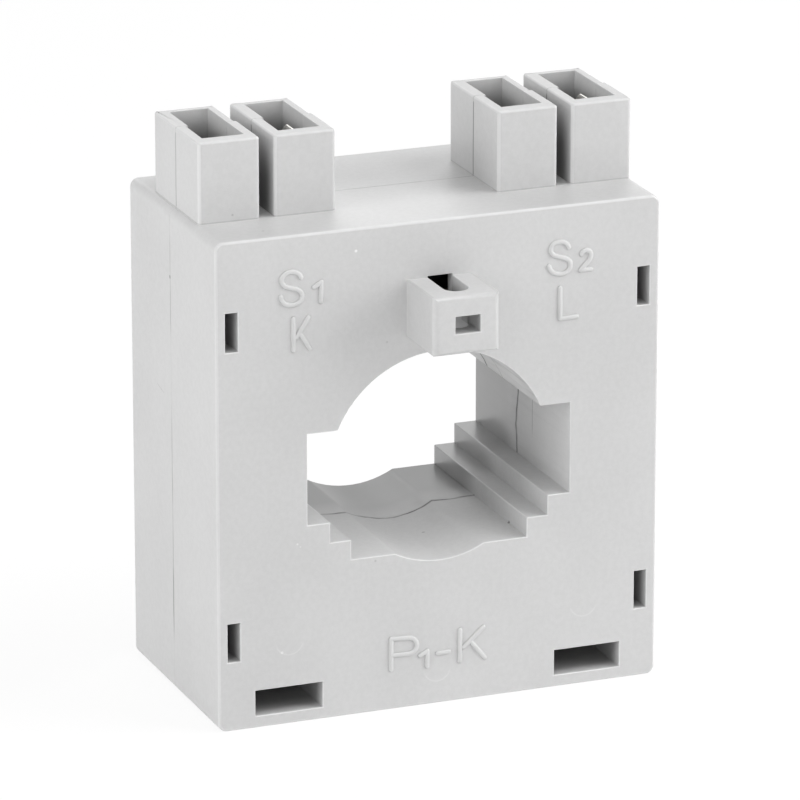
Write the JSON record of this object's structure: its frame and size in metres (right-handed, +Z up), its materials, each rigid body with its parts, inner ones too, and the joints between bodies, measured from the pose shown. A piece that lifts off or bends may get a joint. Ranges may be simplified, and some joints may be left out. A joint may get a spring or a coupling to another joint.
{
  "type": "window-type current transformer",
  "caption": "Current transformer: two-part moulded case with a stepped busbar and cable window, shrouded blade-tab terminals and a clamp boss.",
  "frame": {"origin": "centre of the case's base face, halfway between its front and back faces", "axes": "+X to the right and +Y to the back as seen from the side with the clamp boss, +Z up; the primary conductor runs along Y"},
  "size_m": [0.075, 0.0514, 0.094],
  "materials": {
    "case_plastic": "fine satin moulded plastic, light grey",
    "core_steel": "tape-wound silicon steel",
    "cup_plastic": "thin moulded insulation",
    "enamelled_copper": "clear enamel over copper",
    "tinned_brass": "bright tin plate",
    "sleeve_plastic": "soft tubing",
    "solder": "dull solder"
  },
  "bodies": {
    "root": {"front_shell": "case_plastic", "rear_shell": "case_plastic", "core": "core_steel", "core_cup_front": "cup_plastic", "core_cup_rear": "cup_plastic", "secondary_winding": "enamelled_copper", "terminal_s1": "tinned_brass", "terminal_s2": "tinned_brass", "lead_sleeve_s1": "sleeve_plastic", "lead_sleeve_s2": "sleeve_plastic", "solder_s1": "solder", "solder_s2": "solder"}
  },
  "joints": []
}
